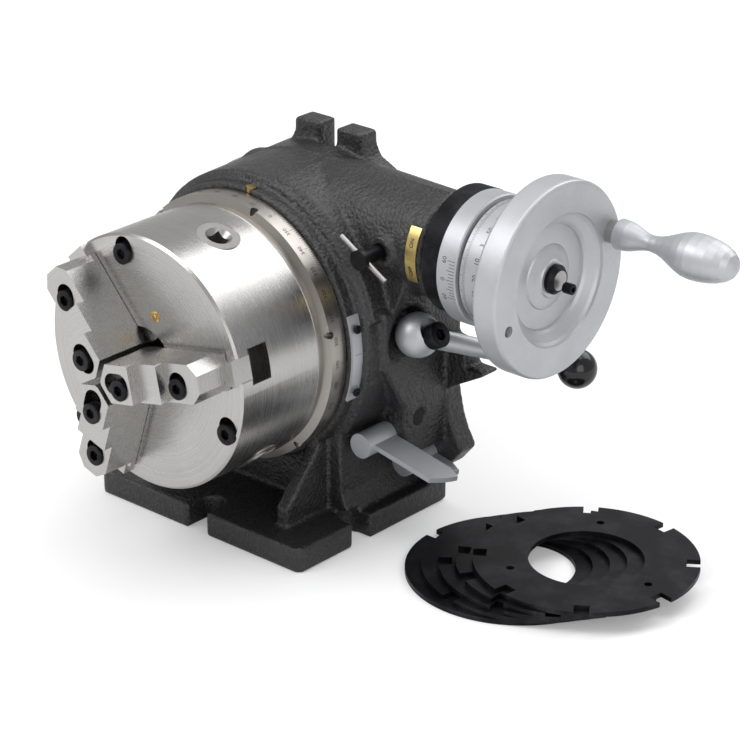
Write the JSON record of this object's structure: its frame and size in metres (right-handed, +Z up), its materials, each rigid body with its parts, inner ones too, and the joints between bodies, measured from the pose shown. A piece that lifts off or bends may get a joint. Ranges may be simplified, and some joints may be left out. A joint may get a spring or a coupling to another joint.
{
  "type": "dividing head",
  "caption": "Black cast dividing head with a geared scroll chuck, notched index ring, worm handwheel, ball lever and loose division masks.",
  "frame": {"origin": "on the underside of the base, in the middle of its key way, under the spindle", "axes": "+Z up, spindle along Y with the chuck to -Y, worm and handwheel to +X"},
  "size_m": [0.4171, 0.2579, 0.2508],
  "materials": {
    "casting_paint": "black crackle",
    "ground_steel": "ground",
    "ring_steel": "satin",
    "black_steel": "black oxide",
    "satin_silver": "satin",
    "dull_steel": "machined",
    "bronze": "satin",
    "plate_gold": "satin",
    "seal_rubber": "matt",
    "black_plastic": "polished"
  },
  "bodies": {
    "head": {"body_casting": "casting_paint", "front_bush": "bronze", "oil_seal": "seal_rubber", "rear_bush": "bronze", "rear_cover": "casting_paint", "cover_screws": "black_steel", "pointer_plate": "satin_silver", "pointer_screws": "black_steel", "oil_plug": "black_steel", "name_plate": "satin_silver", "rim_oiler": "bronze", "housing_plate": "plate_gold"},
    "spindle_set": {"spindle": "ring_steel", "graduated_table": "ring_steel", "index_ring": "dull_steel", "fitted_mask": "dull_steel", "spindle_nut": "dull_steel", "worm_wheel": "bronze", "chuck_body": "ground_steel", "chuck_back": "dull_steel", "chuck_bolts": "black_steel", "chuck_oiler": "bronze"},
    "scroll_set": {"scroll": "dull_steel"},
    "sleeve_set": {"eccentric_sleeve": "black_steel", "vernier_ring": "satin_silver", "worm_bush_inner": "bronze", "worm_bush_outer": "bronze"},
    "worm_set": {"worm_shaft": "dull_steel", "handwheel": "satin_silver", "hub_nut": "black_steel", "hub_screw": "black_steel", "handle_pin": "dull_steel"},
    "dial": {"graduated_dial": "satin_silver"},
    "grip": {"handle_grip": "satin_silver"},
    "plunger_set": {"plunger": "dull_steel"},
    "lever_set": {"lever_shaft": "dull_steel", "ball_lever": "satin_silver", "lever_screw": "black_steel", "lever_knob": "black_plastic"},
    "clamp_front": {"clamp_lever_front": "satin_silver"},
    "clamp_rear": {"clamp_lever_rear": "satin_silver"},
    "lock_set": {"lock_screw": "black_steel"},
    "tommy": {"tommy_bar": "dull_steel"},
    "jaw_set_1": {"master_jaw_1": "ground_steel", "top_jaw_1": "ground_steel", "jaw_bolts_1": "black_steel"},
    "pinion_set_1": {"pinion_1": "dull_steel"},
    "jaw_set_2": {"master_jaw_2": "ground_steel", "top_jaw_2": "ground_steel", "jaw_bolts_2": "black_steel"},
    "pinion_set_2": {"pinion_2": "dull_steel"},
    "jaw_set_3": {"master_jaw_3": "ground_steel", "top_jaw_3": "ground_steel", "jaw_bolts_3": "black_steel"},
    "pinion_set_3": {"pinion_3": "dull_steel"},
    "loose_mask_1": {"mask_plate_1": "black_steel"},
    "loose_mask_2": {"mask_plate_2": "black_steel"},
    "loose_mask_3": {"mask_plate_3": "black_steel"},
    "loose_mask_4": {"mask_plate_4": "black_steel"},
    "loose_mask_5": {"mask_plate_5": "black_steel"}
  },
  "joints": [
    {"name": "spindle_turn", "type": "hinge", "parent": "head", "child": "spindle_set", "pos_m": [0, 0, 0.128], "axis": [0, 1, 0], "continuous": true},
    {"name": "sleeve_turn", "type": "hinge", "parent": "head", "child": "sleeve_set", "pos_m": [0.12, 0.0455, 0.191], "axis": [-1, 0, 0], "range_deg": [0, 60]},
    {"name": "worm_turn", "type": "hinge", "parent": "sleeve_set", "child": "worm_set", "pos_m": [0, 0.042, 0.191], "axis": [1, 0, 0], "continuous": true},
    {"name": "dial_turn", "type": "hinge", "parent": "worm_set", "child": "dial", "pos_m": [0.16, 0.042, 0.191], "axis": [1, 0, 0], "continuous": true},
    {"name": "grip_turn", "type": "hinge", "parent": "worm_set", "child": "grip", "pos_m": [0.2052, 0.08917, 0.20817], "axis": [1, 0, 0], "continuous": true},
    {"name": "scroll_turn", "type": "hinge", "parent": "spindle_set", "child": "scroll_set", "pos_m": [0, -0.065, 0.128], "axis": [0, -1, 0], "range_deg": [0, 630]},
    {"name": "jaw_slide_1", "type": "slide", "parent": "spindle_set", "child": "jaw_set_1", "axis": [0.9781, 0, 0.2079], "range_m": [0, 0.014]},
    {"name": "pinion_turn_1", "type": "hinge", "parent": "spindle_set", "child": "pinion_set_1", "pos_m": [0.02163, -0.0607, 0.19457], "axis": [-0.309, 0, -0.9511], "range_deg": [0, 2520]},
    {"name": "jaw_slide_2", "type": "slide", "parent": "spindle_set", "child": "jaw_set_2", "axis": [-0.6691, 0, 0.7431], "range_m": [0, 0.014]},
    {"name": "pinion_turn_2", "type": "hinge", "parent": "spindle_set", "child": "pinion_set_2", "pos_m": [-0.06847, -0.0607, 0.11345], "axis": [0.9781, 0, 0.2079], "range_deg": [0, 2520]},
    {"name": "jaw_slide_3", "type": "slide", "parent": "spindle_set", "child": "jaw_set_3", "axis": [-0.309, 0, -0.9511], "range_m": [0, 0.014]},
    {"name": "pinion_turn_3", "type": "hinge", "parent": "spindle_set", "child": "pinion_set_3", "pos_m": [0.04684, -0.0607, 0.07598], "axis": [-0.6691, 0, 0.7431], "range_deg": [0, 2520]},
    {"name": "lever_turn", "type": "hinge", "parent": "head", "child": "lever_set", "pos_m": [0.1037, 0.028, 0.1342], "axis": [-0.8829, 0, -0.4695], "range_deg": [0, 65]},
    {"name": "plunger_slide", "type": "slide", "parent": "head", "child": "plunger_set", "axis": [-0.9936, 0, 0.1132], "range_m": [0, 0.0055]},
    {"name": "clamp_front_turn", "type": "hinge", "parent": "head", "child": "clamp_front", "pos_m": [0.082, 0.012, 0.063], "axis": [0, 1, 0], "range_deg": [-55, 15]},
    {"name": "clamp_rear_turn", "type": "hinge", "parent": "head", "child": "clamp_rear", "pos_m": [0.084, 0.049, 0.038], "axis": [0, 1, 0], "range_deg": [-30, 12]},
    {"name": "lock_turn", "type": "hinge", "parent": "head", "child": "lock_set", "pos_m": [0.0915, 0, 0.191], "axis": [0, 1, 0], "range_deg": [0, 45]},
    {"name": "tommy_slide", "type": "slide", "parent": "lock_set", "child": "tommy", "axis": [0.866, 0, -0.5], "range_m": [-0.012, 0.012]},
    {"name": "mask_lift_1", "type": "slide", "parent": "head", "child": "loose_mask_1", "axis": [0, 0, 1], "range_m": [0, 0.004]},
    {"name": "mask_lift_2", "type": "slide", "parent": "loose_mask_1", "child": "loose_mask_2", "axis": [0, 0, 1], "range_m": [0, 0.004]},
    {"name": "mask_lift_3", "type": "slide", "parent": "loose_mask_2", "child": "loose_mask_3", "axis": [0, 0, 1], "range_m": [0, 0.004]},
    {"name": "mask_lift_4", "type": "slide", "parent": "loose_mask_3", "child": "loose_mask_4", "axis": [0, 0, 1], "range_m": [0, 0.004]},
    {"name": "mask_lift_5", "type": "slide", "parent": "loose_mask_4", "child": "loose_mask_5", "axis": [0, 0, 1], "range_m": [0, 0.004]}
  ],
  "couplings": [
    {"joint": "worm_turn", "follows": "spindle_turn", "ratio": -90},
    {"joint": "jaw_slide_1", "follows": "scroll_turn", "m_per_rad": 0.0012732},
    {"joint": "pinion_turn_1", "follows": "scroll_turn", "ratio": 4},
    {"joint": "jaw_slide_2", "follows": "scroll_turn", "m_per_rad": 0.0012732},
    {"joint": "pinion_turn_2", "follows": "scroll_turn", "ratio": 4},
    {"joint": "jaw_slide_3", "follows": "scroll_turn", "m_per_rad": 0.0012732},
    {"joint": "pinion_turn_3", "follows": "scroll_turn", "ratio": 4},
    {"joint": "plunger_slide", "follows": "lever_turn", "m_per_rad": 0.0048481}
  ]
}
